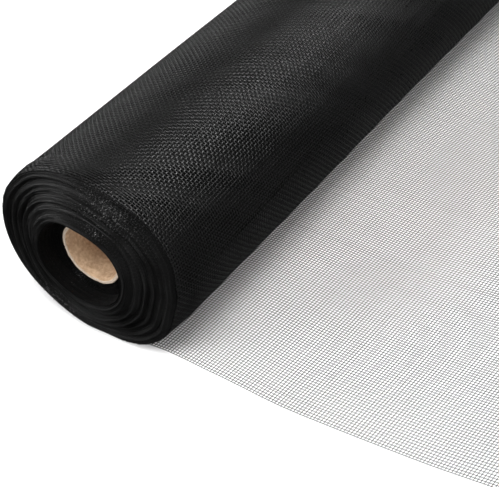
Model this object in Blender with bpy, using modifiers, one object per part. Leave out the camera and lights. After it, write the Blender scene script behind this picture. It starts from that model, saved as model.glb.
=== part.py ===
"""Roll of window screen: black fibreglass mesh wound on a cardboard core, with its loose end drawn out.

Metres. +Y runs along the roll from its near end to its far end, +X is the side of the loose end, and
+Z is up. The origin is on the surface under the middle of the roll, on the roll's flat spot.
"""
import math

import bmesh
import bpy
from mathutils import Matrix, Vector

# The cloth and its core
CLOTH_WIDTH = 0.610
ROLL_RADIUS = 0.047          # mean radius of the winding
ROLL_OVAL = 0.075            # the soft roll is this share wider and lower than round
FLAT_SPOT_DEPTH = 0.0004     # how far the roll's underside is pressed flat
CORE_OUTER_RADIUS = 0.0158
CORE_WALL = 0.0015
CORE_SHIFT = 0.0035          # the core has slid this far towards the far end
CORE_OFFSET = (-0.0006, 0.0005)     # of the core's axis from the roll's, across and up
PIECE_GAP = 0.0003

# The outer side of the winding
SIDE_STATIONS = 10
RIM_REACH = 0.014            # length over which the near rim swells or draws in
SWELL_BEHIND_RIM = 0.0008    # half that length back, the side swells by this at SWELL_ANGLE
SWELL_ANGLE = math.radians(120.0)
SIDE_WAVES = ((0.310, 0.0004, 0.6), (0.170, 0.0002, 2.1))   # length, height, phase
WAVES_FADE = (0.4, 0.8)      # sines of the angle below the axis where the waves start and end their fade
SIDE_SHARE = 0.99            # past this share of the way out, a point is on the outer side

# The ends of the winding
# The near rim: angle from +X towards +Z in degrees, how far it grows, how far it stands out
NEAR_RIM = (
    (0.0, -0.0014, -0.0002), (20.0, -0.0002, -0.0018), (38.0, 0.0000, -0.0024), (60.0, 0.0001, -0.0010),
    (90.0, 0.0002, -0.0010), (120.0, -0.0001, -0.0012), (145.0, -0.0010, -0.0010), (175.0, -0.0014, -0.0007),
    (225.0, -0.0001, 0.0002), (270.0, 0.0000, 0.0009), (300.0, 0.0000, 0.0016), (322.0, -0.0008, 0.0012),
    (345.0, -0.0026, 0.0004),
)
END_WANDER = 0.0007          # how far a turn's edge wanders in and out as it goes round
END_WANDER_TWIST = 9.0       # turn of that wander from the core to the rim, in radians
CORE_MARGIN = 0.33           # share of the winding next to the core over which the wander grows

# The loose end
SHEET_THICKNESS = 0.001
SHEET_SET_BACK = 0.0024      # its near edge lies this far inside the roll's rim
SHEET_ROWS_BETWEEN = 2       # mesh rows between two rows of the profile table
SHEET_COLUMNS = 18
EDGE_WANDER = 0.0012         # how far its cut end and its two side edges wander
CUT_END_WAVE = 0.270         # length of the wander along the cut end
SIDE_EDGE_WAVE = 0.203       # length of the wander along each side edge
EDGE_WANDER_START = (0.030, 0.060)  # distance from the roll's axis over which it grows

ROLL_STEPS = 60
CORE_STEPS = 48

HALF_WIDTH = CLOTH_WIDTH / 2
AXIS_HEIGHT = ROLL_RADIUS * (1.0 - ROLL_OVAL) - FLAT_SPOT_DEPTH
BORE_RADIUS = CORE_OUTER_RADIUS + PIECE_GAP

# Turns at the near end, from the rim inwards: share of the roll's radius, how far they stand out
NEAR_TURNS = (
    (1.000, -0.0014), (0.980, 0.0000), (0.940, 0.0009), (0.905, -0.0003), (0.865, 0.0013),
    (0.830, 0.0002), (0.790, 0.0021), (0.755, 0.0008), (0.710, 0.0030), (0.675, 0.0017),
    (0.630, 0.0040), (0.590, 0.0028), (0.545, 0.0050), (0.500, 0.0056), (0.465, 0.0050),
    (0.445, -0.0025), (0.400, -0.0034),
)
# The far end is plainer: two broad ridges, nearly level with the edge of the cloth
FAR_TURNS = (
    (1.000, -0.0012), (0.975, 0.0000), (0.900, 0.0008), (0.820, -0.0006), (0.730, 0.0010),
    (0.640, -0.0004), (0.530, 0.0008), (0.420, -0.0006),
)

# The loose end's curve: distance across from the roll's axis, height of its middle, share of the waves
SHEET_PROFILE = (
    (0.0260, 0.00205, 0.00), (0.0330, 0.00235, 0.10), (0.0440, 0.00240, 0.20), (0.0580, 0.00205, 0.25),
    (0.0740, 0.00130, 0.15), (0.0900, 0.00065, 0.00), (0.1050, 0.00050, 0.00), (0.1300, 0.00050, 0.00),
    (0.1480, 0.00095, 0.10), (0.1670, 0.00215, 0.25), (0.1900, 0.00510, 0.50), (0.2150, 0.00890, 0.75),
    (0.2400, 0.01260, 0.90), (0.2650, 0.01600, 1.00),
)
# Where the loose end still follows the roll's underside
HUG_ANGLES = (math.radians(-70.0), math.radians(-67.0))
# Broad waves in the loose end: length along the roll, height, phase, drift of the phase per metre across
SHEET_WAVES = ((0.390, 0.0013, 0.4, 5.0), (0.215, 0.0007, 1.9, -8.0))


def clear_scene():
    for item in list(bpy.data.objects):
        bpy.data.objects.remove(item)


def make_collection(name):
    group = bpy.data.collections.new(name)
    bpy.context.scene.collection.children.link(group)
    return group


def make_material(name, color, roughness, metallic=0.0):
    material = bpy.data.materials.new(name)
    material.use_nodes = True
    shader = material.node_tree.nodes["Principled BSDF"]
    shader.inputs["Base Color"].default_value = (*color, 1.0)
    shader.inputs["Roughness"].default_value = roughness
    shader.inputs["Metallic"].default_value = metallic
    return material


def add_object(name, mesh, group, material):
    item = bpy.data.objects.new(name, mesh)
    mesh.materials.clear()
    mesh.materials.append(material)
    group.objects.link(item)
    return item


def section_radius(angle):
    """Radius of the slumped winding at an angle from +X."""
    return ROLL_RADIUS * (1.0 + ROLL_OVAL * math.cos(2.0 * angle))


def turned_mesh(name, profile, steps):
    """Mesh turned round Y from a closed profile of (radius, place along the axis)."""
    mesh = bpy.data.meshes.new(name)
    count = len(profile)
    points = [(radius, 0.0, along) for radius, along in profile]
    edges = [(i, (i + 1) % count) for i in range(count)]
    mesh.from_pydata(points, edges, [])
    item = bpy.data.objects.new(name, mesh)
    bpy.context.scene.collection.objects.link(item)
    screw = item.modifiers.new("turn", "SCREW")
    screw.axis = "Z"
    screw.angle = math.tau
    screw.steps = steps
    screw.render_steps = steps
    screw.use_merge_vertices = True
    screw.merge_threshold = 0.00001
    screw.use_smooth_shade = True
    bpy.context.view_layer.update()
    seen = item.evaluated_get(bpy.context.evaluated_depsgraph_get())
    turned = bpy.data.meshes.new_from_object(seen)
    bpy.data.objects.remove(item)
    half_step = Matrix.Rotation(math.pi / steps, 4, "Z")
    lie_down = Matrix.Rotation(-math.pi / 2, 4, "X")
    turned.transform(lie_down @ half_step)
    turned.name = name
    return turned


def core_profile():
    top = HALF_WIDTH + CORE_SHIFT
    bottom = -HALF_WIDTH + CORE_SHIFT
    inner = CORE_OUTER_RADIUS - CORE_WALL
    return [(CORE_OUTER_RADIUS, top), (CORE_OUTER_RADIUS, bottom), (inner, bottom), (inner, top)]


def winding_profile():
    """Down the outer side, in along the near turns, up the bore and out along the far turns."""
    span = CLOTH_WIDTH - 2 * RIM_REACH
    side = [HALF_WIDTH - RIM_REACH - span * i / SIDE_STATIONS for i in range(SIDE_STATIONS + 1)]
    near_rim = -HALF_WIDTH - NEAR_TURNS[0][1]
    side.append((side[-1] + near_rim) / 2)
    profile = [(ROLL_RADIUS, along) for along in side]
    profile += [(share * ROLL_RADIUS, -HALF_WIDTH - out) for share, out in NEAR_TURNS]
    profile.append((BORE_RADIUS, -HALF_WIDTH - NEAR_TURNS[-1][1]))
    profile.append((BORE_RADIUS, HALF_WIDTH + FAR_TURNS[-1][1]))
    profile += [(share * ROLL_RADIUS, HALF_WIDTH + out) for share, out in reversed(FAR_TURNS)]
    return profile


def ease(value):
    value = min(max(value, 0.0), 1.0)
    return value * value * (3.0 - 2.0 * value)


def near_rim(angle):
    """How far the near rim grows and stands out at an angle, eased between the rows of its table."""
    degrees = math.degrees(angle) % 360.0
    rows = NEAR_RIM + ((360.0,) + NEAR_RIM[0][1:],)
    for before, after in zip(rows, rows[1:]):
        if degrees <= after[0]:
            share = ease((degrees - before[0]) / (after[0] - before[0]))
            return [a + (b - a) * share for a, b in zip(before[1:], after[1:])]


def side_swell(angle, along):
    """How far the broad waves lift the winding's outer side, which lies flat on the loose end below."""
    start, end = WAVES_FADE
    above = 1.0 - ease((-math.sin(angle) - start) / (end - start))
    return above * sum(h * math.sin(math.tau * along / w + p) for w, h, p in SIDE_WAVES)


def end_lift(angle, share, near):
    """How far a turn's edge stands out at one end of the winding."""
    lift = END_WANDER * ease(share / CORE_MARGIN) * math.sin(angle * 2.0 + share * END_WANDER_TWIST)
    if near:
        lift += near_rim(angle)[1] * share
    return lift


def settle_winding(mesh):
    """Turn the round winding into the slumped, uneven one with a flat spot below."""
    for vertex in mesh.vertices:
        place = vertex.co
        angle = math.atan2(place.z, place.x)
        radius = math.hypot(place.x, place.z)
        share = (radius - BORE_RADIUS) / (ROLL_RADIUS - BORE_RADIUS)
        new_radius = radius * (1.0 + ROLL_OVAL * math.cos(2.0 * angle) * ease(share))
        if share > SIDE_SHARE:
            new_radius += side_swell(angle, place.y)
        at_rim = (-place.y - HALF_WIDTH + RIM_REACH) / RIM_REACH
        new_radius += ease(at_rim) * ease(share) * near_rim(angle)[0]
        if 0.0 < at_rim < 1.0:
            behind = 4.0 * at_rim * (1.0 - at_rim)
            new_radius += behind * SWELL_BEHIND_RIM * max(math.cos(angle - SWELL_ANGLE), 0.0)
        if abs(place.y) > HALF_WIDTH - RIM_REACH / 2:
            place.y += math.copysign(end_lift(angle, share, place.y < 0.0), place.y)
        place.x = new_radius * math.cos(angle) + CORE_OFFSET[0] * (1.0 - share)
        place.z = new_radius * math.sin(angle) + CORE_OFFSET[1] * (1.0 - share)
        place.z = max(place.z, -AXIS_HEIGHT)


def hug_point(angle):
    """A place on the sheet's middle where it still lies against the roll's underside."""
    step = 0.001
    radius = section_radius(angle)
    here = Vector((radius * math.cos(angle), radius * math.sin(angle)))
    ahead = section_radius(angle + step)
    along = Vector((ahead * math.cos(angle + step), ahead * math.sin(angle + step))) - here
    outward = Vector((along.y, -along.x)).normalized()
    place = here + outward * (PIECE_GAP + SHEET_THICKNESS / 2)
    return (place.x, place.y + AXIS_HEIGHT, 0.0)


def spline(rows, position):
    """Smooth curve through the rows of a table (Catmull-Rom), at a position counted in rows."""
    last = len(rows) - 1
    index = min(int(position), last - 1)
    t = position - index
    p0, p1 = rows[max(index - 1, 0)], rows[index]
    p2, p3 = rows[index + 1], rows[min(index + 2, last)]
    result = []
    for a, b, c, d in zip(p0, p1, p2, p3):
        result.append(b + 0.5 * t * (c - a + t * (2 * a - 5 * b + 4 * c - d + t * (3 * (b - c) + d - a))))
    return result


def sheet_point(rows, across, along):
    """Place on the sheet's middle for shares 0 to 1 across it and along the roll."""
    x, z, wave_share = spline(rows, across * (len(rows) - 1))
    start = -HALF_WIDTH + SHEET_SET_BACK
    y = start + (HALF_WIDTH - start) * along
    for length, height, phase, drift in SHEET_WAVES:
        z += wave_share * height * (1.0 + math.sin(math.tau * y / length + phase + drift * x))
    x += wave_share * EDGE_WANDER * math.sin(math.tau * y / CUT_END_WAVE)
    first, full = EDGE_WANDER_START
    grown = ease((x - first) / (full - first))
    y += EDGE_WANDER * math.sin(math.tau * x / SIDE_EDGE_WAVE) * (2.0 * along - 1.0) * grown
    return (x, y, z)


def make_core(group):
    mesh = turned_mesh("core_tube", core_profile(), CORE_STEPS)
    item = add_object("core_tube", mesh, group, make_material("cardboard", (0.50, 0.34, 0.21), 0.85))
    item.location = (CORE_OFFSET[0], 0.0, AXIS_HEIGHT + CORE_OFFSET[1])
    mesh.set_sharp_from_angle(angle=math.radians(40))


def make_winding(group):
    mesh = turned_mesh("wound_screen", winding_profile(), ROLL_STEPS)
    settle_winding(mesh)
    black = make_material("wound_mesh", (0.018, 0.018, 0.019), 0.5)
    item = add_object("wound_screen", mesh, group, black)
    item.location.z = AXIS_HEIGHT
    mesh.set_sharp_from_angle(angle=math.radians(50))


def make_loose_sheet(group):
    rows = [hug_point(angle) for angle in HUG_ANGLES] + list(SHEET_PROFILE)
    cage = bmesh.new()
    row_count = (len(rows) - 1) * SHEET_ROWS_BETWEEN
    bmesh.ops.create_grid(cage, x_segments=row_count, y_segments=SHEET_COLUMNS, size=0.5)
    for vertex in cage.verts:
        vertex.co = sheet_point(rows, vertex.co.x + 0.5, vertex.co.y + 0.5)
    mesh = bpy.data.meshes.new("loose_sheet")
    cage.to_mesh(mesh)
    cage.free()
    mesh.shade_smooth()
    item = add_object("loose_sheet", mesh, group, make_material("open_mesh", (0.12, 0.12, 0.12), 0.55))
    shell = item.modifiers.new("thickness", "SOLIDIFY")
    shell.thickness = SHEET_THICKNESS
    shell.offset = 0.0
    shell.use_even_offset = True


def main():
    clear_scene()
    group = make_collection("window_screen_roll")
    make_core(group)
    make_winding(group)
    make_loose_sheet(group)


main()
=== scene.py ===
import math

import bmesh
import bpy
import numpy as np
from mathutils import Matrix


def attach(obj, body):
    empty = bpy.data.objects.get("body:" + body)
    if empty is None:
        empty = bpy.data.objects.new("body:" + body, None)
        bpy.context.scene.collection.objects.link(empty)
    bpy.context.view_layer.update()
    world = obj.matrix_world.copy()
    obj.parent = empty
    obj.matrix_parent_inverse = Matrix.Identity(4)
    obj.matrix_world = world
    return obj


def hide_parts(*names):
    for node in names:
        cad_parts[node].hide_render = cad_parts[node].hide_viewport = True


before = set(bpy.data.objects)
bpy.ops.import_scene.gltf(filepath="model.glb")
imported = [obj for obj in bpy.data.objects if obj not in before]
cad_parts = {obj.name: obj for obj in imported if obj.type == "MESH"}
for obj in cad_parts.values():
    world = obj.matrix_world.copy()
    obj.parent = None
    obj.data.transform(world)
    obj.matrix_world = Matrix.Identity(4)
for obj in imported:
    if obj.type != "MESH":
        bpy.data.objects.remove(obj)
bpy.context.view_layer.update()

# Roll of window screen: a black fibreglass mesh on a cardboard core, with its loose end drawn out.
# Metres, in the frame of the solids: +Y from the near end to the far end, +X towards the loose end, +Z up.

# The winding's form, as in the part's source
CLOTH_WIDTH = 0.610
HALF_WIDTH = CLOTH_WIDTH / 2
ROLL_RADIUS = 0.047
ROLL_OVAL = 0.075
FLAT_SPOT_DEPTH = 0.0004
AXIS_HEIGHT = ROLL_RADIUS * (1.0 - ROLL_OVAL) - FLAT_SPOT_DEPTH
CORE_OUTER_RADIUS = 0.0158
CORE_WALL = 0.0015
CORE_SHIFT = 0.0035
CORE_OFFSET = (-0.0006, 0.0005)
BORE_RADIUS = CORE_OUTER_RADIUS + 0.0003
RIM_REACH = 0.014
SWELL_BEHIND_RIM = 0.0008
SWELL_ANGLE = math.radians(120.0)
SIDE_WAVES = ((0.310, 0.00015, 0.6), (0.170, 0.00010, 2.1))
WAVES_FADE = (0.4, 0.8)
# Share of the winding from bore to outside: where a swell begins, and over how much it grows in
WAVES_FROM, WAVES_OVER = 0.9, 0.08
SWELL_FROM, SWELL_OVER = 0.8, 0.2
ON_FLOOR_FROM = 0.95         # beyond this share, threads are kept their own radius above the floor
# Angle in degrees, how far the rim grows, how far it stands out
NEAR_RIM = (
    (0.0, -0.0014, -0.0002), (20.0, -0.0002, -0.0018), (38.0, 0.0000, -0.0024), (60.0, 0.0001, -0.0010),
    (90.0, 0.0002, -0.0010), (120.0, -0.0001, -0.0012), (145.0, -0.0010, -0.0010), (175.0, -0.0014, -0.0007),
    (225.0, -0.0001, 0.0002), (270.0, 0.0000, 0.0009), (300.0, 0.0000, 0.0016), (322.0, -0.0008, 0.0012),
    (345.0, -0.0026, 0.0004), (360.0, -0.0014, -0.0002),
)
END_WANDER = 0.0007
END_WANDER_TWIST = 9.0
CORE_MARGIN = 0.33
# Share of the roll's radius, how far the turns stand out there
NEAR_TURNS = (
    (1.000, -0.0014), (0.980, 0.0000), (0.940, 0.0009), (0.905, -0.0003), (0.865, 0.0013),
    (0.830, 0.0002), (0.790, 0.0021), (0.755, 0.0008), (0.710, 0.0030), (0.675, 0.0017),
    (0.630, 0.0040), (0.590, 0.0028), (0.545, 0.0050), (0.500, 0.0056), (0.465, 0.0050),
    (0.445, -0.0025), (0.400, -0.0034),
)
FAR_TURNS = (
    (1.000, -0.0012), (0.975, 0.0000), (0.900, 0.0008), (0.820, -0.0006), (0.730, 0.0010),
    (0.640, -0.0004), (0.530, 0.0008), (0.420, -0.0006),
)

# The loose end's form, as in the part's source: across, height of its middle, share of the waves
SHEET_PROFILE = (
    (0.0260, 0.00205, 0.00), (0.0330, 0.00235, 0.10), (0.0440, 0.00240, 0.20), (0.0580, 0.00205, 0.25),
    (0.0740, 0.00130, 0.15), (0.0900, 0.00065, 0.00), (0.1050, 0.00050, 0.00), (0.1300, 0.00050, 0.00),
    (0.1480, 0.00095, 0.10), (0.1670, 0.00215, 0.25), (0.1900, 0.00510, 0.50), (0.2150, 0.00890, 0.75),
    (0.2400, 0.01260, 0.90), (0.2650, 0.01600, 1.00),
)
HUG_ANGLES = (math.radians(-70.0), math.radians(-67.0))
HUG_DISTANCE = 0.0008
SHEET_WAVES = ((0.390, 0.0013, 0.4, 5.0), (0.215, 0.0007, 1.9, -8.0))
SHEET_SET_BACK = 0.0024
SHEET_START = -HALF_WIDTH + SHEET_SET_BACK
EDGE_WANDER = 0.0012
CUT_END_WAVE = 0.270
SIDE_EDGE_WAVE = 0.203
EDGE_WANDER_START = (0.030, 0.060)

# Where the cloth departs from that solid
NEAR_EDGE_OUT = 0.0018       # how far its near edge comes to stand out
NEAR_EDGE_FROM = (0.060, 0.110)
SHEET_LOWER = 0.0003         # how far it lies below the solid's middle

# The cloth: 18 warp threads and 16 weft threads to the inch, the weft a little askew
WARP_PITCH = 0.0254 / 18
WEFT_PITCH = 0.0254 / 16
WEFT_SKEW = 0.058            # distance along the cloth per distance across it
THREAD_RADIUS = 0.00020      # of the three-sided thread, which is as wide as a round one of 0.35 mm
THREAD_ROUNDING = math.radians(48.0)    # from sideways to the way that the edges of its outer face shade
THREAD_RISE = 0.00010        # how far its shading makes it rise over a thread that it crosses

# Threads of the winding
WEFT_ROUNDING = math.radians(74.0)      # the same for the wefts, which the warps press flat
WEFT_BELOW = 0.00010         # how far the wefts lie below the warps
WOUND_SPREAD = 0.00003       # how far threads lie off their even spacing
WOUND_VARIATION = 0.06       # how much their thickness varies
# Waves round the roll, and how many radians they shift from end to end and with the layer's phase
WARP_WANDER = (2.0, 23.0, 9.0)
# Radians of the waves along the roll, and how many they shift per metre round it
WEFT_WANDER = (17.0, 30.0)
WARPS_HELD = 0.004           # share of the width at the near end where the warps don't wander
CUT_END_REACH = (0.0002, 0.0010)        # how far the cut ends of the wefts reach past the outermost warps
LAYER_STATIONS = 48          # of a warp round the roll
LENGTH_STATIONS = 50         # of a weft along the roll
ARC_STATIONS = 1441          # of the table of distances round the roll
EDGE_FADE = 0.02             # distance over which the warps straighten out behind the uneven ends
OUTWARD_STEP = 0.0005        # to find which way is out of the roll
INNER_DEPTH = 0.00040        # of the turns below the two that show
INNER_REACH = 0.0005         # how far they reach past the edge of the cloth, to meet the turns' edges

# Threads of the loose end
OPEN_SPREAD = 0.00002        # how far threads lie off their even spacing
OPEN_VARIATION = 0.03        # how much their thickness varies
OPEN_HALF_APART = 0.00005    # half of how far the wefts lie below the warps
OPEN_WARP_STATIONS = 26
OPEN_WEFT_STATIONS = 56
SECTION_STATIONS = 801       # of the table of distances from the roll to the cut end
# Height of the waves, their radians along a thread, and how many they shift between threads: over the
# whole width for the warps and per metre for the wefts
OPEN_WARP_WANDER = (0.00030, 9.0, 40.0)
OPEN_WEFT_WANDER = (0.00035, 11.0, 21.0)
WANDER_WITHIN = 0.49         # share of the width either side of its middle where the warps wander
SHORTEST_WEFT = 0.01         # share of the width below which a weft is left out
EDGE_INSET = 0.0002          # of the outermost warps
FINER_CORNER = 0.14          # how much finer the threads are at the near corner of the cut end
FINER_FROM = (0.060, 0.180)

# The ends of the winding
TURN_PITCH = 0.0003
OUTER_MARGIN = 0.0001        # the last turn ends at least this far inside the roll's radius
TURN_STATIONS = (0.30, 0.72, 0.98)      # shares of a turn's thickness: two of its edge, one of the groove
TURN_STAGGER = 7.31          # wefts from the first of one turn to the first of the next
CREST_SHARPNESS = 0.0010     # four times how far the slope beside a crest hangs below a straight one
CREST_PAINTED_HIGHLIGHT, CREST_POWER = 0.6, 6        # how pale a crest is painted, as a highlight, and how narrow its pale line
PROUD_TURNS = 0.22           # share of the turns that show a painted highlight, a pale line of their own, at an end
PROUD_PAINTED_HIGHLIGHT = (0.4, 1.0)      # how pale those painted highlights are
GROUP_CHANGE = 0.12          # chance that a turn starts a new group, out of line with the last one
TURN_WAVES = 5               # a steady part and four waves round the roll
RECESS_SHARE = 0.475         # of the roll's radius, within which the near end is a recess, coloured nearly black as painted shade
# Where the recess's lip is low: how far, then the middle and half width in degrees and in share of the radius
LOW_LIP = (0.0022, -20.0, 45.0, 0.50, 0.07)
# Where the cut ends of the wefts stand out most: the middle and half width of each place, in degrees and in
# share of the radius
FRAYED = (
    (62.0, 24.0, 0.84, 0.18), (236.0, 22.0, 0.84, 0.20), (58.0, 9.0, 0.57, 0.03), (238.0, 9.0, 0.40, 0.04),
    (10.0, 10.0, 0.43, 0.04),
)
FRAYED_LONGER = 2.0          # by how many times their own reach the cut ends are longer there
BRISTLE_HALF_WIDTH = 0.00014
BRISTLE_DEPTH = 0.00018
BRISTLE_ROOT = 0.0002        # how far its foot is sunk in the turn's edge
BRISTLE_REACH = (0.0001, 0.0004)
BRISTLE_LEAN = (0.00015, 0.00010)       # how far its tip leans round the roll, and out of it
BRISTLE_SPREAD = 0.15        # share of a pitch by which it stands off its even spacing

rng = np.random.default_rng(11)


def ease(value):
    value = np.clip(value, 0.0, 1.0)
    return value * value * (3.0 - 2.0 * value)


def over_range(value, bounds):
    return ease((value - bounds[0]) / (bounds[1] - bounds[0]))


def unit(vectors):
    return vectors / np.maximum(np.linalg.norm(vectors, axis=-1, keepdims=True), 1e-12)


def degrees_from(angle, place):
    """Degrees from a place round the roll to an angle in radians, between -180 and 180."""
    return (np.degrees(angle) - place + 180.0) % 360.0 - 180.0


def near_rim(angle):
    rows = np.array(NEAR_RIM)
    degrees = np.degrees(angle) % 360.0
    after = np.clip(np.searchsorted(rows[:, 0], degrees), 1, len(rows) - 1)
    low, high = rows[after - 1], rows[after]
    share = ease((degrees - low[..., 0]) / (high[..., 0] - low[..., 0]))
    return [low[..., i] + (high[..., i] - low[..., i]) * share for i in (1, 2)]


def winding_share(radius):
    return (radius - BORE_RADIUS) / (ROLL_RADIUS - BORE_RADIUS)


def end_lift(angle, radius, near):
    share = winding_share(radius)
    lift = END_WANDER * ease(share / CORE_MARGIN) * np.sin(angle * 2.0 + share * END_WANDER_TWIST)
    return lift + near_rim(angle)[1] * share if near else lift


def settle(angle, radius, along):
    """Place in the slumped winding of a point given on a round one."""
    share = winding_share(radius)
    above = 1.0 - over_range(-np.sin(angle), WAVES_FADE)
    swell = above * sum(h * np.sin(math.tau * along / w + p) for w, h, p in SIDE_WAVES)
    grown = radius * (1.0 + ROLL_OVAL * np.cos(2.0 * angle) * ease(share))
    grown = grown + swell * ease((share - WAVES_FROM) / WAVES_OVER)
    at_rim = np.clip((-along - HALF_WIDTH + RIM_REACH) / RIM_REACH, 0.0, 1.0)
    grown = grown + ease(at_rim) * ease(share) * near_rim(angle)[0]
    behind = 4.0 * at_rim * (1.0 - at_rim) * ease((share - SWELL_FROM) / SWELL_OVER)
    grown = grown + behind * SWELL_BEHIND_RIM * np.maximum(np.cos(angle - SWELL_ANGLE), 0.0)
    x = grown * np.cos(angle) + CORE_OFFSET[0] * (1.0 - share)
    z = grown * np.sin(angle) + CORE_OFFSET[1] * (1.0 - share)
    floor = np.where(share > ON_FLOOR_FROM, np.maximum(ROLL_RADIUS - radius, 0.0) + THREAD_RADIUS, 0.0)
    return np.stack(np.broadcast_arrays(x, along, np.maximum(z + AXIS_HEIGHT, floor)), -1)


def new_object(name, points, faces, material, weave=None, normals=None):
    """A mesh on the root body. weave gives each face corner its place in the weave, as a UV map."""
    mesh = bpy.data.meshes.new(name)
    points = np.asarray(points, dtype=np.float32).reshape(-1, 3)
    faces = np.asarray(faces, dtype=np.int32)
    size = faces.shape[1]
    mesh.vertices.add(len(points))
    mesh.vertices.foreach_set("co", points.ravel())
    mesh.loops.add(faces.size)
    mesh.loops.foreach_set("vertex_index", faces.ravel())
    mesh.polygons.add(len(faces))
    mesh.polygons.foreach_set("loop_start", np.arange(0, faces.size, size, dtype=np.int32))
    if weave is not None:
        weave = np.asarray(weave, dtype=np.float32)
        mesh.uv_layers.new(name="weave").uv.foreach_set("vector", weave.ravel())
    mesh.update(calc_edges=True)
    mesh.shade_smooth()
    if normals is not None:
        mesh.normals_split_custom_set_from_vertices(normals)
    item = bpy.data.objects.new(name, mesh)
    bpy.context.scene.collection.objects.link(item)
    item.data.materials.append(material)
    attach(item, "root")
    return item


def add_material(item, material, marked):
    """Give the marked faces a material of their own."""
    item.data.materials.append(material)
    item.data.polygons.foreach_set("material_index", marked.astype(np.int32))


def grid_faces(rows, columns, closed):
    """Quads of a grid of points in rows; closed joins each row's end to its start."""
    row = np.arange(rows - 1)[:, None] * columns
    step = np.arange(columns if closed else columns - 1)[None, :]
    ahead = (step + 1) % columns
    corners = [row + step, row + ahead, row + columns + ahead, row + columns + step]
    return np.stack(corners, -1).reshape(-1, 4)


def thread_mesh(paths, sideways, outward, radius, crossings, rounding=THREAD_ROUNDING, closed=False):
    """Three-sided threads along paths of shape (threads, stations, 3), a flat face outwards.

    crossings counts the threads crossed up to each station, and one more place at the end of a closed thread.
    """
    if (np.cross(sideways, outward)[:, :-1] * np.diff(paths, axis=1)).sum() < 0.0:
        sideways = -sideways     # so that every face is wound outwards
    corners, normals = [], []
    for i in range(3):
        angle = math.pi / 6 + i * math.tau / 3
        corners.append(paths + radius[..., None] * (math.cos(angle) * sideways + math.sin(angle) * outward))
        facing = (rounding, math.pi - rounding, angle)[i]
        normals.append(math.cos(facing) * sideways + math.sin(facing) * outward)
    points = np.stack(corners, 2)
    normals = np.stack(np.broadcast_arrays(*normals), 2)
    threads, stations = paths.shape[:2]
    faces = grid_faces(stations + 1 if closed else stations, 3, True)
    station = np.repeat(np.arange(len(faces) // 3), 3)
    before, after = crossings[:, station], crossings[:, station + 1]
    counts = np.stack([before, before, after, after], -1)
    weave = np.stack([counts, np.zeros_like(counts)], -1)
    faces = np.where(faces >= stations * 3, faces - stations * 3, faces)
    faces = faces[None] + (np.arange(threads) * stations * 3)[:, None, None]
    return points.reshape(-1, 3), faces.reshape(-1, 4), weave.reshape(-1, 2), normals.reshape(-1, 3)


def join(parts):
    points, faces, weave, normals = zip(*parts)
    starts = np.cumsum([0] + [len(p) for p in points[:-1]])
    faces = np.concatenate([part + start for part, start in zip(faces, starts)])
    return np.concatenate(points), faces, np.concatenate(weave), np.concatenate(normals)


# Materials


def node_material(name):
    material = bpy.data.materials.new(name)
    material.use_nodes = True
    tree = material.node_tree
    return material, tree, tree.nodes["Principled BSDF"]


def feed(tree, socket, value):
    """Set a socket to a number or a colour, or link it to another one."""
    if isinstance(value, (int, float)):
        socket.default_value = value
    elif isinstance(value, tuple):
        socket.default_value = (*value, 1.0)
    elif value is not None:
        tree.links.new(value, socket)


def grey(value):
    return (value, value, value)


def noise(tree, scale, detail=2.0):
    place = tree.nodes.new("ShaderNodeTexCoord")
    texture = tree.nodes.new("ShaderNodeTexNoise")
    texture.inputs["Scale"].default_value = scale
    texture.inputs["Detail"].default_value = detail
    tree.links.new(place.outputs["Object"], texture.inputs["Vector"])
    return texture.outputs["Fac"]


def remap(tree, value, low, high, source=(0.3, 0.7)):
    node = tree.nodes.new("ShaderNodeMapRange")
    node.inputs["From Min"].default_value, node.inputs["From Max"].default_value = source
    node.inputs["To Min"].default_value, node.inputs["To Max"].default_value = low, high
    tree.links.new(value, node.inputs["Value"])
    return node.outputs["Result"]


def mix_colors(tree, share, first, second):
    node = tree.nodes.new("ShaderNodeMix")
    node.data_type = "RGBA"
    for name, value in (("Factor", share), ("A", first), ("B", second)):
        feed(tree, node.inputs[name], value)
    return node.outputs["Result"]


def bump(tree, shader, value, strength, distance):
    node = tree.nodes.new("ShaderNodeBump")
    node.inputs["Strength"].default_value = strength
    node.inputs["Distance"].default_value = distance
    tree.links.new(value, node.inputs["Height"])
    tree.links.new(node.outputs["Normal"], shader.inputs["Normal"])


def maths(tree, operation, first, second=None, third=None):
    node = tree.nodes.new("ShaderNodeMath")
    node.operation = operation
    for socket, value in zip(node.inputs, (first, second, third)):
        feed(tree, socket, value)
    return node.outputs["Value"]


def weave_place(tree):
    node = tree.nodes.new("ShaderNodeUVMap")
    node.uv_map = "weave"
    split = tree.nodes.new("ShaderNodeSeparateXYZ")
    tree.links.new(node.outputs["UV"], split.inputs["Vector"])
    return split.outputs["X"], split.outputs["Y"]


def set_gloss(tree, shader, scale, roughness, specular):
    """A roughness that varies between two values, and one specular level."""
    tree.links.new(remap(tree, noise(tree, scale), *roughness), shader.inputs["Roughness"])
    shader.inputs["Specular IOR Level"].default_value = specular


def thread_material(name, dark, light, roughness, specular):
    """Black vinyl coating on glass yarn: satin, each thread over one and under the next that it crosses."""
    material, tree, shader = node_material(name)
    over = maths(tree, "COSINE", maths(tree, "MULTIPLY", weave_place(tree)[0], math.pi))
    # The colour is darker where a thread dips under the one it crosses and lighter where it rises over it:
    # painted shade and painted highlight.
    tone = maths(tree, "ADD", maths(tree, "MULTIPLY", over, 0.35), noise(tree, 60.0, 3.0))
    tree.links.new(mix_colors(tree, tone, grey(dark), grey(light)), shader.inputs["Base Color"])
    set_gloss(tree, shader, 900.0, roughness, specular)
    fibres = maths(tree, "MULTIPLY", noise(tree, 4000.0), 0.000006)
    bump(tree, shader, maths(tree, "MULTIPLY_ADD", over, THREAD_RISE, fibres), 1.0, 1.0)
    return material


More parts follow.
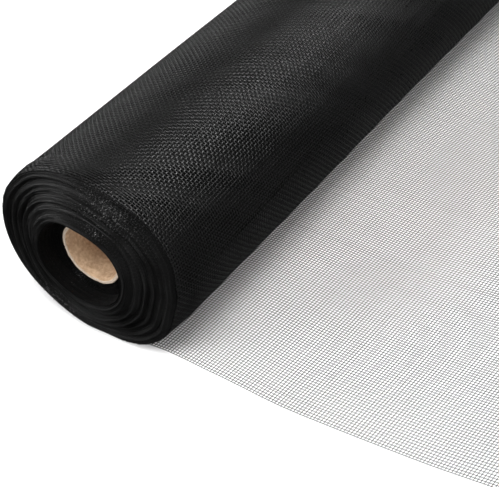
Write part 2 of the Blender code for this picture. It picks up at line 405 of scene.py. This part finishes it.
def turn_edge_material(name, dark, light, roughness, specular):
    """The edges of the turns: lighter on the crests as a painted highlight, and each cut weft end shows as a
    fine speck.
    """
    material, tree, shader = node_material(name)
    along, crest = weave_place(tree)
    specks = maths(tree, "COSINE", maths(tree, "MULTIPLY", along, math.tau))
    places = remap(tree, noise(tree, 45.0, 2.0), 0.0, 0.7, (0.48, 0.66))
    tone = maths(tree, "MULTIPLY", remap(tree, specks, 0.0, 0.6, (0.2, 1.0)), places)
    # How much lighter a crest is varies from place to place: painted highlight
    crest_painted_highlight = remap(tree, noise(tree, 70.0, 3.0), 0.10, 1.0, (0.38, 0.62))
    tone = maths(tree, "MULTIPLY_ADD", crest, crest_painted_highlight, tone)
    tree.links.new(mix_colors(tree, tone, grey(dark), grey(light)), shader.inputs["Base Color"])
    set_gloss(tree, shader, 700.0, roughness, specular)
    height = maths(tree, "MULTIPLY", specks, 0.00003)
    bump(tree, shader, maths(tree, "MULTIPLY_ADD", noise(tree, 2500.0), 0.00004, height), 1.0, 1.0)
    return material


def cut_thread_material(name, dark, light, roughness, specular):
    """Cut ends of the wefts: some are pale where the coating is frayed off the glass yarn."""
    material, tree, shader = node_material(name)
    tone, frayed = weave_place(tree)
    tone = maths(tree, "MULTIPLY", tone, frayed)
    tree.links.new(mix_colors(tree, tone, grey(dark), grey(light)), shader.inputs["Base Color"])
    set_gloss(tree, shader, 700.0, roughness, specular)
    return material


def cardboard_material():
    material, tree, shader = node_material("core_cardboard")
    fibres = remap(tree, noise(tree, 700.0, 6.0), 0.0, 1.0, (0.32, 0.68))
    blotches = remap(tree, noise(tree, 160.0, 4.0), 0.0, 1.0, (0.35, 0.65))
    coarse = mix_colors(tree, blotches, (0.41, 0.27, 0.165), (0.60, 0.43, 0.28))
    fine = mix_colors(tree, fibres, (0.28, 0.175, 0.10), (0.68, 0.51, 0.36))
    tree.links.new(mix_colors(tree, 0.5, coarse, fine), shader.inputs["Base Color"])
    shader.inputs["Roughness"].default_value = 0.85
    shader.inputs["Specular IOR Level"].default_value = 0.25
    bump(tree, shader, fibres, 0.35, 0.0002)
    return material


def cut_edge_material():
    material, tree, shader = node_material("core_cut_edge")
    fibres = noise(tree, 1500.0, 5.0)
    color = mix_colors(tree, fibres, (0.28, 0.22, 0.17), (0.50, 0.42, 0.34))
    tree.links.new(color, shader.inputs["Base Color"])
    shader.inputs["Roughness"].default_value = 0.9
    shader.inputs["Specular IOR Level"].default_value = 0.2
    bump(tree, shader, fibres, 0.4, 0.0002)
    return material


# Name, dark and light tone, roughness, specular level
HOOPS = thread_material("wound_warps", 0.002, 0.005, (0.26, 0.36), 0.5)
# The winding's wefts are a lighter copy of the warps' black vinyl: a painted highlight.
WEFTS_PAINTED_LIGHTER = thread_material("wound_wefts_painted_highlight", 0.006, 0.014, (0.30, 0.40), 0.5)
UNDER = thread_material("second_threads", 0.003, 0.007, (0.32, 0.44), 0.4)
OPEN = thread_material("open_threads", 0.004, 0.010, (0.32, 0.44), 0.4)
ENDS = turn_edge_material("turn_edges", 0.003, 0.026, (0.42, 0.56), 0.14)
CUT = cut_thread_material("cut_threads", 0.004, 0.300, (0.30, 0.40), 0.40)
# Nearly black, dull turn edges: for the turns below the two that show, and as painted shade in the near end's
# recess
DEEP_AND_PAINTED_SHADE = turn_edge_material("deep_turns_and_painted_shade", 0.002, 0.006, (0.60, 0.80), 0.1)


# The winding


def arc_table():
    """Angles round the oval roll, and the distance round it up to each."""
    angles = np.linspace(0.0, math.tau, ARC_STATIONS)
    radius = ROLL_RADIUS * (1.0 + ROLL_OVAL * np.cos(2.0 * angles))
    places = np.stack([radius * np.cos(angles), radius * np.sin(angles)], -1)
    lengths = np.concatenate([[0.0], np.cumsum(np.linalg.norm(np.diff(places, axis=0), axis=1))])
    return angles, lengths


ARC_ANGLES, ARC_LENGTHS = arc_table()


def edge_places(angle, near):
    radius = np.full_like(angle, ROLL_RADIUS)
    if near:
        return -HALF_WIDTH - NEAR_TURNS[0][1] - end_lift(angle, radius, True)
    return HALF_WIDTH + FAR_TURNS[0][1] + end_lift(angle, radius, False)


def place_along(angle, share):
    """Place along the roll for a share of the cloth's width, following both uneven edges."""
    near, far = edge_places(angle, True), edge_places(angle, False)
    straight = -HALF_WIDTH + CLOTH_WIDTH * share
    from_near = (straight + HALF_WIDTH) / EDGE_FADE
    from_far = (HALF_WIDTH - straight) / EDGE_FADE
    return straight + (near + HALF_WIDTH) * np.exp(-from_near) + (far - HALF_WIDTH) * np.exp(-from_far)


def roll_directions(angles, radius, along, places):
    """Directions at places on the roll: along it, and out of it."""
    outward = settle(angles, np.full_like(along, radius + OUTWARD_STEP), along) - places
    outward[..., 1] = 0.0
    lengthwise = np.zeros_like(outward)
    lengthwise[..., 1] = 1.0
    return lengthwise, unit(outward)


def wound_thickness(along):
    """Radius of threads of the winding, each with a thickness of its own."""
    varied = 1.0 + WOUND_VARIATION * rng.standard_normal((len(along), 1))
    return THREAD_RADIUS * varied * np.ones_like(along)


def wound_layer(name, depth, skew, phase, wander, warp_material, weft_material):
    """One turn of cloth: its warps as hoops round the roll, and its wefts along it just below them."""
    radius = ROLL_RADIUS - depth
    angle = np.linspace(0.0, math.tau, LAYER_STATIONS, endpoint=False)
    warps = int(CLOTH_WIDTH / WARP_PITCH)
    share = np.arange(warps + 1)[:, None] / warps
    angles = np.broadcast_to(angle, (warps + 1, LAYER_STATIONS))
    waves, twist, layer_twist = WARP_WANDER
    drift = wander * np.sin(angles * waves + share * twist + phase * layer_twist)
    drift = drift + WOUND_SPREAD * rng.standard_normal((warps + 1, 1))
    along = place_along(angles, share) + drift * (share > WARPS_HELD)
    hoops = settle(angles, np.full_like(along, radius), along)
    lengthwise, outward = roll_directions(angles, radius, along, hoops)
    thick = wound_thickness(along)
    round_length = ARC_LENGTHS[-1]
    # An even number of wefts, so that each warp's last crossing follows on from its first
    wefts = 2 * int(round(round_length / WEFT_PITCH / 2))
    places = np.interp(np.append(angle, math.tau), ARC_ANGLES, ARC_LENGTHS)
    crossed = (places - skew * CLOTH_WIDTH * share) * wefts / round_length - phase
    crossed = crossed + np.arange(warps + 1)[:, None]
    rings = thread_mesh(hoops, lengthwise, outward, thick, crossed, closed=True)

    start = (np.arange(wefts) + phase) * round_length / wefts
    start = (start + WOUND_SPREAD * rng.standard_normal(wefts))[:, None]
    share = np.linspace(0.0, 1.0, LENGTH_STATIONS) * np.ones((wefts, 1))
    share[:, 0] = -rng.uniform(*CUT_END_REACH, wefts) / CLOTH_WIDTH
    share[:, -1] = 1.0 + rng.uniform(*CUT_END_REACH, wefts) / CLOTH_WIDTH
    waves, twist = WEFT_WANDER
    arc = start + skew * CLOTH_WIDTH * share + wander * np.sin(share * waves + start * twist)
    angles = np.interp(arc % round_length, ARC_LENGTHS, ARC_ANGLES)
    along = place_along(angles, share)
    lines = settle(angles, np.full_like(along, radius - WEFT_BELOW), along)
    lengthwise, outward = roll_directions(angles, radius, along, lines)
    across = unit(np.cross(lengthwise, outward))
    thick = wound_thickness(along)
    crossed = np.arange(wefts)[:, None] + warps * share + 1.0
    lines = thread_mesh(lines, across, outward, thick, crossed, WEFT_ROUNDING)
    points, faces, weave, normals = join([rings, lines])
    item = new_object(name, points, faces, warp_material, weave, normals)
    add_material(item, weft_material, np.arange(len(faces)) >= len(rings[1]))
    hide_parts("wound_screen")


def turn_jitter(turns, rise, group_rise):
    """How far each turn stands out of line: a steady part and waves round the roll, as cosines and sines.

    Turns keep together in groups of a few, so most of this is shared by a group.
    """
    group = np.cumsum(rng.random(turns) < GROUP_CHANGE)
    shared = group_rise * rng.standard_normal((turns, TURN_WAVES, 2))
    return rise * rng.standard_normal((turns, TURN_WAVES, 2)) + shared[group]


def crests(share, table):
    """Where between a trough of the turns and the crest next to it: 0 in the trough and 1 on the crest."""
    rows = np.array(table)[::-1]
    heights = rows[:, 1]
    high = np.concatenate([[0.0], (heights[1:-1] > heights[:-2]) & (heights[1:-1] > heights[2:]), [0.0]])
    return np.interp(share, rows[:, 0], high)


def turn_heights(radius, angle, table, near, jitter):
    """How far the edges of the turns stand out at places given by radius and angle."""
    rows = np.array(table)[::-1]
    share = radius / ROLL_RADIUS
    out = np.interp(share, rows[:, 0], rows[:, 1]) + end_lift(angle, radius, near)
    # The crests are sharp and the troughs wide
    crest = crests(share, table)
    out = out - CREST_SHARPNESS * crest * (1.0 - crest)
    rounding = 0.01     # so that the start of a turn never counts as part of the one before
    turn = np.floor((radius - BORE_RADIUS) / TURN_PITCH + rounding).astype(int)
    waves = jitter[turn]
    for i in range(TURN_WAVES):
        out = out + waves[..., i, 0] * np.cos(i * angle) + waves[..., i, 1] * np.sin(i * angle)
    if near:
        # The lip of the recess is low where the core's rim shows past it
        drop, place, wide, middle, reach = LOW_LIP
        turned = degrees_from(angle, place)
        out = out - drop * np.exp(-(turned / wide) ** 2) * np.exp(-((share - middle) / reach) ** 2)
    return out


def weft_ends(name, table, near, jitter):
    """The cut ends of the wefts, which stand up like fine bristles from every turn's edge."""
    points, tones = [], []
    for i in range(2, len(jitter) - 2):
        middle = BORE_RADIUS + (i + 0.5) * TURN_PITCH
        count = int(math.tau * middle / WEFT_PITCH)
        turned = np.arange(count) + rng.random() + BRISTLE_SPREAD * rng.standard_normal(count)
        angle = turned * math.tau / count
        radius = np.full(count, middle)
        out = turn_heights(radius, angle, table, near, jitter)
        frayed = np.zeros(count)
        for place, wide, share, reach in FRAYED:
            turned = degrees_from(angle, place)
            frayed += np.exp(-(turned / wide) ** 2 - ((middle / ROLL_RADIUS - share) / reach) ** 2)
        frayed = np.minimum(frayed, 1.0)
        tip_out = out + rng.uniform(*BRISTLE_REACH, count) * (1.0 + FRAYED_LONGER * frayed)
        tones.append(np.stack([rng.random(count) ** 3, frayed], -1))
        tip_angle = angle + BRISTLE_LEAN[0] / middle * rng.standard_normal(count)
        tip_radius = radius + BRISTLE_LEAN[1] * rng.standard_normal(count)
        size = BRISTLE_HALF_WIDTH / middle
        root = out - BRISTLE_ROOT
        corners = [(angle - size, radius, root), (angle + size, radius, root),
                   (angle, radius + BRISTLE_DEPTH, root), (tip_angle, tip_radius, tip_out)]
        sign = -1.0 if near else 1.0
        points.append(np.stack([settle(a, r, sign * (HALF_WIDTH + o)) for a, r, o in corners], 1))
    points = np.concatenate(points)
    faces = np.array([(0, 1, 3), (1, 2, 3), (2, 0, 3)])[None] + 4 * np.arange(len(points))[:, None, None]
    weave = np.repeat(np.concatenate(tones), 9, axis=0)     # three faces with three corners each
    item = new_object(name, points, faces.reshape(-1, 3), CUT, weave)
    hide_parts("wound_screen")


def wound_end(name, table, near, steps, groove, rise, group_rise):
    """One end of the winding: the edges of all its turns, with a groove between one and the next."""
    turns = int((ROLL_RADIUS - OUTER_MARGIN - BORE_RADIUS) / TURN_PITCH)
    jitter = turn_jitter(turns + 3, rise, group_rise)
    radii, depth, turn = [BORE_RADIUS], [groove], [0]
    for i in range(turns):
        radii += [BORE_RADIUS + i * TURN_PITCH + share * TURN_PITCH for share in TURN_STATIONS]
        depth += [0.0, 0.0, groove]
        turn += [i, i, i]
    radii.append(ROLL_RADIUS)
    depth.append(0.0)
    turn.append(turns)
    angle = np.linspace(0.0, math.tau, steps, endpoint=False)
    radii, depth, turn = np.array(radii), np.array(depth)[:, None], np.array(turn)
    angles = np.broadcast_to(angle, (len(radii), steps))
    wide = np.broadcast_to(radii[:, None], angles.shape)
    out = turn_heights(wide, angles, table, near, jitter) - depth
    points = settle(angles, wide, -HALF_WIDTH - out if near else HALF_WIDTH + out)
    faces = grid_faces(len(radii), steps, True)
    # Each turn's cut weft ends are at places of their own
    first = TURN_STAGGER * turn
    step = np.tile(np.arange(steps), len(radii) - 1)
    row = np.repeat(np.arange(len(radii) - 1), steps)
    count = radii * math.tau / WEFT_PITCH / steps
    corners = [(row, step), (row, step + 1), (row + 1, step + 1), (row + 1, step)]
    # Pale lines painted as highlights: the crests, and single turns that stand out over part of the way round
    crest = CREST_PAINTED_HIGHLIGHT * crests(wide / ROLL_RADIUS, table) ** CREST_POWER
    proud_highlight = (rng.random(turns + 1) < PROUD_TURNS) * rng.uniform(*PROUD_PAINTED_HIGHLIGHT, turns + 1)
    facing = math.tau * rng.random(turns + 1)
    highlight_fade = np.maximum(np.cos(angle - facing[turn][:, None]), 0.0)
    crest = np.maximum(crest, proud_highlight[turn][:, None] * highlight_fade * (depth < groove / 2))
    weave = [np.stack([first[r] + count[row] * k, crest[r, k % steps]], -1) for r, k in corners]
    weave = np.stack(weave, 1)
    if near:
        faces, weave = faces[:, ::-1], weave[:, ::-1]
    item = new_object(name, points.reshape(-1, 3), faces, ENDS, weave)
    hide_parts("wound_screen")
    if near:
        # The recess gets the nearly black material: painted shade
        add_material(item, DEEP_AND_PAINTED_SHADE, radii[row] < RECESS_SHARE * ROLL_RADIUS)
    weft_ends(name + "_weft_ends", table, near, jitter)


def wound_side(steps=240, stations=70):
    """The turns below the two that show, down to the bore."""
    angle = np.linspace(0.0, math.tau, steps, endpoint=False)
    share = ease(np.linspace(0.0, 1.0, stations))
    angles = np.broadcast_to(angle, (stations, steps))
    along = place_along(angles, share[:, None])
    along[0] -= INNER_REACH
    along[-1] += INNER_REACH
    points = settle(angles, np.full_like(along, ROLL_RADIUS - INNER_DEPTH), along)
    faces = grid_faces(stations, steps, True)[:, ::-1]
    item = new_object("inner_turns", points.reshape(-1, 3), faces, DEEP_AND_PAINTED_SHADE, np.zeros((faces.size, 2)))
    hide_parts("wound_screen")


# The loose end


def spline(rows, position):
    """Smooth curve through the rows, at places counted in rows."""
    rows = np.array(rows)
    last = len(rows) - 1
    index = np.minimum(position.astype(int), last - 1)
    t = (position - index)[..., None]
    a, b = rows[np.maximum(index - 1, 0)], rows[index]
    c, d = rows[index + 1], rows[np.minimum(index + 2, last)]
    return b + 0.5 * t * (c - a + t * (2 * a - 5 * b + 4 * c - d + t * (3 * (b - c) + d - a)))


def hug_point(angle):
    """Row of the sheet's profile where it still lies close to the roll."""
    def section(a):
        radius = ROLL_RADIUS * (1.0 + ROLL_OVAL * math.cos(2.0 * a))
        return np.array([radius * math.cos(a), radius * math.sin(a)])
    along = section(angle + 0.001) - section(angle)
    outward = np.array([along[1], -along[0]]) / np.linalg.norm(along)
    place = section(angle) + outward * HUG_DISTANCE
    return (place[0], place[1] + AXIS_HEIGHT, 0.0)


SHEET_ROWS = [hug_point(angle) for angle in HUG_ANGLES] + list(SHEET_PROFILE)


def sheet_point(across, along):
    """Place on the loose end, for shares of it across from the roll and along from the near edge."""
    x, z, waves = np.moveaxis(spline(SHEET_ROWS, across * (len(SHEET_ROWS) - 1)), -1, 0)
    y = SHEET_START + (HALF_WIDTH - SHEET_START) * along
    for length, height, phase, drift in SHEET_WAVES:
        z = z + waves * height * (1.0 + np.sin(math.tau * y / length + phase + drift * x))
    x = x + waves * EDGE_WANDER * np.sin(math.tau * y / CUT_END_WAVE)
    wander = EDGE_WANDER * np.sin(math.tau * x / SIDE_EDGE_WAVE)
    y = y + wander * (2.0 * along - 1.0) * over_range(x, EDGE_WANDER_START)
    y = y - NEAR_EDGE_OUT * over_range(x, NEAR_EDGE_FROM) * (1.0 - along)
    return np.stack([x, y, z - SHEET_LOWER], -1)


def sheet_frame(across, along):
    """Places on the loose end, and the directions there: across, along and up."""
    small = 0.002
    here = sheet_point(across, along)
    over = sheet_point(np.minimum(across + small, 1.0), along)
    over = unit(over - sheet_point(np.maximum(across - small, 0.0), along))
    down = sheet_point(across, np.minimum(along + small, 1.0))
    down = unit(down - sheet_point(across, np.maximum(along - small, 0.0)))
    return here, over, down, unit(np.cross(over, down))


def open_thickness(here, along):
    """Radius of the loose end's threads, each with a thickness of its own."""
    finer = 1.0 - FINER_CORNER * over_range(here[..., 0], FINER_FROM) * (1.0 - along)
    return THREAD_RADIUS * (1.0 + OPEN_VARIATION * rng.standard_normal((len(along), 1))) * finer


def loose_mesh():
    """The loose end as one layer of threads: warps across it to the cut end, and wefts along it."""
    steps = np.linspace(0.0, 1.0, SECTION_STATIONS)
    middle = sheet_point(steps, np.full_like(steps, 0.5))
    lengths = np.concatenate([[0.0], np.cumsum(np.linalg.norm(np.diff(middle, axis=0), axis=1))])
    whole = lengths[-1]
    width = HALF_WIDTH - SHEET_START

    warps = int(width / WARP_PITCH)
    places = np.arange(warps + 1) / warps
    places = np.sort(np.concatenate([[EDGE_INSET / width], places[1:-1], [1.0 - EDGE_INSET / width]]))
    places = places[:, None]
    across = np.interp(np.linspace(0.0, whole, OPEN_WARP_STATIONS), lengths, steps)
    across = np.broadcast_to(across, (len(places), OPEN_WARP_STATIONS))
    wobble = OPEN_SPREAD * rng.standard_normal((len(places), 1)) / width
    height, waves, twist = OPEN_WARP_WANDER
    drift = height / width * np.sin(across * waves + places * twist)
    inside = np.abs(places - 0.5) < WANDER_WITHIN
    along = np.clip(places + wobble + drift * inside, 0.0, 1.0)
    here, over, down, up = sheet_frame(across, along)
    thick = open_thickness(here, along)
    crossed = across * whole / WEFT_PITCH + np.arange(len(places))[:, None]
    warp_threads = thread_mesh(here + up * OPEN_HALF_APART, down, up, thick, crossed)

    # The wefts run askew, so those near the roll and the cut end start or stop part of the way along
    askew = WEFT_SKEW * width
    count = int((whole + askew) / WEFT_PITCH)
    start = (np.arange(count) + 0.5) * WEFT_PITCH - askew + OPEN_SPREAD * rng.standard_normal(count)
    low = np.clip(-start / askew, 0.0, 1.0)
    high = np.clip((whole - start) / askew, 0.0, 1.0)
    keep = high - low > SHORTEST_WEFT
    start, low, high = start[keep, None], low[keep, None], high[keep, None]
    along = low + (high - low) * np.linspace(0.0, 1.0, OPEN_WEFT_STATIONS)
    height, waves, twist = OPEN_WEFT_WANDER
    run = start + askew * along + height * np.sin(along * waves + start * twist)
    across = np.interp(run, lengths, steps)
    here, over, down, up = sheet_frame(across, along)
    thick = open_thickness(here, along)
    crossed = along * len(places) + np.arange(len(start))[:, None] + 1.0
    weft_threads = thread_mesh(here - up * OPEN_HALF_APART, over, up, thick, crossed)
    points, faces, weave, normals = join([warp_threads, weft_threads])
    item = new_object("loose_mesh", points, faces, OPEN, weave, normals)
    item.visible_shadow = False     # the photo shows no shadow of this thin cloth
    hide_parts("loose_sheet")


# The core


def core_tube(steps=144):
    """The paper tube, as a profile turned round its axis, with slightly ragged cut ends."""
    outer, inner = CORE_OUTER_RADIUS, CORE_OUTER_RADIUS - CORE_WALL
    near, far = -HALF_WIDTH + CORE_SHIFT, HALF_WIDTH + CORE_SHIFT
    chamfer = 0.00025
    end_margin = 0.004
    stations = np.linspace(near + end_margin, far - end_margin, 24)
    profile = [(outer, y) for y in stations[::-1]]
    profile += [(outer, near + chamfer), (outer - chamfer, near)]
    profile += [(outer - CORE_WALL * share, near) for share in (0.35, 0.65)]
    profile += [(inner + chamfer, near), (inner, near + chamfer)]
    profile += [(inner, y) for y in stations]
    profile += [(inner, far - chamfer), (inner + chamfer, far)]
    profile += [(outer - CORE_WALL * share, far) for share in (0.65, 0.35)]
    profile += [(outer - chamfer, far), (outer, far - chamfer)]
    profile.append(profile[0])
    radius, along = [np.array(values)[:, None] for values in zip(*profile)]
    angle = np.linspace(0.0, math.tau, steps, endpoint=False)
    # A few waves round each cut end, and a fine roughness
    ragged = 0.00012 * np.sin(angle * 5.0 + 1.0) + 0.00008 * np.sin(angle * 13.0)
    ragged = ragged + 0.00005 * rng.standard_normal(steps)
    end_reach = 0.0006     # within which a row of the profile belongs to a cut end
    at_end = np.abs(along - CORE_SHIFT) > HALF_WIDTH - end_reach
    x = radius * np.cos(angle) + CORE_OFFSET[0]
    y = along + ragged * at_end * np.sign(along)
    z = radius * np.sin(angle) + AXIS_HEIGHT + CORE_OFFSET[1]
    faces = grid_faces(len(profile), steps, True)
    item = new_object("paper_core", np.stack([x, y, z], -1).reshape(-1, 3), faces, cardboard_material())
    cut_rows = (at_end[:-1] & at_end[1:])[:, 0]
    add_material(item, cut_edge_material(), np.repeat(cut_rows, steps))
    item.data.set_sharp_from_angle(angle=math.radians(35))
    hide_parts("core_tube")


wound_side()
# Name, profile of the turns, whether it is the near end, steps round it, depth of the grooves, and how far
# single turns and groups of them are out of line
wound_end("near_turns", NEAR_TURNS, True, 288, 0.00035, 0.00008, 0.00022)
wound_end("far_turns", FAR_TURNS, False, 200, 0.00025, 0.00004, 0.00010)
# Name, depth, skew of the wefts, their phase, how far threads wander, materials
wound_layer("outer_turn", -0.00010, WEFT_SKEW, 0.0, 0.0004, HOOPS, WEFTS_PAINTED_LIGHTER)
wound_layer("second_turn", 0.00018, WEFT_SKEW + 0.006, 0.4, 0.0012, UNDER, WEFTS_PAINTED_LIGHTER)
loose_mesh()
core_tube()


# The studio

STAGE_SIZE = 6.0
FLOOR_HEIGHT = -0.0004       # a little below the threads
FLOOR_GLOW = (0.20, 0.70)    # its strength in the middle, and far out
GLOW_GROWS = (0.5, 1.1)      # distances from the middle between which it grows
WHITE = (1.0, 1.0, 1.0, 1.0)


def make_backdrop():
    """A white dome that only the camera sees, so that every view has a plain pale background."""
    mesh = bpy.data.meshes.new("backdrop")
    shape = bmesh.new()
    bmesh.ops.create_uvsphere(shape, u_segments=48, v_segments=24, radius=STAGE_SIZE)
    shape.to_mesh(mesh)
    shape.free()
    item = bpy.data.objects.new("backdrop", mesh)
    bpy.context.scene.collection.objects.link(item)
    material, _, shader = node_material("white_backdrop")
    shader.inputs["Base Color"].default_value = (0.0, 0.0, 0.0, 1.0)
    shader.inputs["Specular IOR Level"].default_value = 0.0
    shader.inputs["Emission Color"].default_value = WHITE
    shader.inputs["Emission Strength"].default_value = 1.0
    mesh.materials.append(material)
    item.visible_diffuse = item.visible_glossy = item.visible_transmission = item.visible_shadow = False


def make_floor():
    """A plain pale floor. It is left out of reflections, because the threads would mirror it."""
    mesh = bpy.data.meshes.new("floor")
    size = STAGE_SIZE
    corners = [(-size, -size, 0), (size, -size, 0), (size, size, 0), (-size, size, 0)]
    mesh.from_pydata(corners, [], [(0, 1, 2, 3)])
    item = bpy.data.objects.new("floor", mesh)
    item.location.z = FLOOR_HEIGHT
    bpy.context.scene.collection.objects.link(item)
    material, tree, shader = node_material("pale_floor")
    shader.inputs["Base Color"].default_value = (0.7, 0.7, 0.7, 1.0)
    shader.inputs["Roughness"].default_value = 1.0
    shader.inputs["Specular IOR Level"].default_value = 0.0
    shader.inputs["Emission Color"].default_value = WHITE
    # The lights reach the middle alone, so the floor glows more further out and is as pale there
    distance = tree.nodes.new("ShaderNodeVectorMath")
    distance.operation = "LENGTH"
    place = tree.nodes.new("ShaderNodeTexCoord")
    tree.links.new(place.outputs["Object"], distance.inputs[0])
    glow = remap(tree, distance.outputs["Value"], *FLOOR_GLOW, GLOW_GROWS)
    tree.links.new(glow, shader.inputs["Emission Strength"])
    mesh.materials.append(material)
    item.visible_glossy = False


def floor_light(elevation, from_near, angle, power):
    """Even light on the floor, from the near right. It is left out of reflections."""
    data = bpy.data.lights.new("floor_light", "SUN")
    data.angle = angle
    data.energy = power
    item = bpy.data.objects.new("floor_light", data)
    item.rotation_euler = (from_near, math.pi / 2 - elevation, 0.0)
    item.visible_glossy = False
    bpy.context.scene.collection.objects.link(item)


def frame_matrix(x_axis, y_axis, z_axis, place):
    rows = [[x_axis[i], y_axis[i], z_axis[i], place[i]] for i in range(3)]
    return Matrix(rows + [[0, 0, 0, 1]])


def soft_light(name, place, aim, size, power, in_reflections=True):
    data = bpy.data.lights.new(name, "AREA")
    data.shape = "RECTANGLE"
    data.size, data.size_y = size
    data.energy = power
    item = bpy.data.objects.new(name, data)
    back = unit(np.array(place) - np.array(aim))
    right = unit(np.cross([0.0, 0.0, 1.0], back))
    item.matrix_world = frame_matrix(right, np.cross(back, right), back, place)
    item.visible_glossy = in_reflections
    bpy.context.scene.collection.objects.link(item)


def make_world(strength):
    world = bpy.data.worlds.new("studio")
    world.use_nodes = True
    background = world.node_tree.nodes["Background"]
    background.inputs["Color"].default_value = WHITE
    background.inputs["Strength"].default_value = strength
    bpy.context.scene.world = world


def make_camera():
    """The photo's camera, from its right, up and back directions and its place by the near end's axis."""
    data = bpy.data.cameras.new("camera")
    data.sensor_fit = "HORIZONTAL"
    data.sensor_width = 36.0
    data.lens = 89.32
    data.clip_start, data.clip_end = 0.01, 50.0
    item = bpy.data.objects.new("camera", data)
    right, up, back = (0.8154, 0.5676, -0.1140), (-0.2916, 0.5728, 0.7661), (0.5001, -0.5914, 0.6325)
    place = (0.3217, -HALF_WIDTH - 0.2712, AXIS_HEIGHT + 0.3348)
    item.matrix_world = frame_matrix(right, up, back, place)
    bpy.context.scene.collection.objects.link(item)
    bpy.context.scene.camera = item


make_backdrop()
make_floor()
# Name, place, aim, size, power
soft_light("back_light", (0.28, 0.88, 0.83), (0.02, -0.15, 0.08), (0.5, 0.3), 9.0)
soft_light("low_back_light", (0.72, 0.88, 0.47), (0.02, -0.15, 0.08), (0.5, 0.3), 3.8)
soft_light("side_light", (-1.25, 1.05, 0.22), (0.0, -0.1, 0.08), (1.4, 0.3), 2.4)
soft_light("front_light", (0.15, -0.85, 1.45), (0.0, -0.3, 0.05), (0.5, 0.5), 9.0)
soft_light("left_light", (-1.30, -0.75, 0.30), (0.0, -0.3, 0.05), (1.0, 0.5), 11.0)
soft_light("fill_light", (0.58, -0.86, 0.66), (0.0, -0.3, 0.05), (0.4, 0.4), 2.3, in_reflections=False)
soft_light("near_left_light", (-0.45, -0.95, 0.55), (0.0, -0.3, 0.05), (0.4, 0.4), 6.2, in_reflections=False)
floor_light(math.radians(71.3), math.radians(16.0), math.radians(22.0), 1.8)
make_world(0.13)
make_camera()
bpy.context.scene.view_settings.view_transform = "Standard"
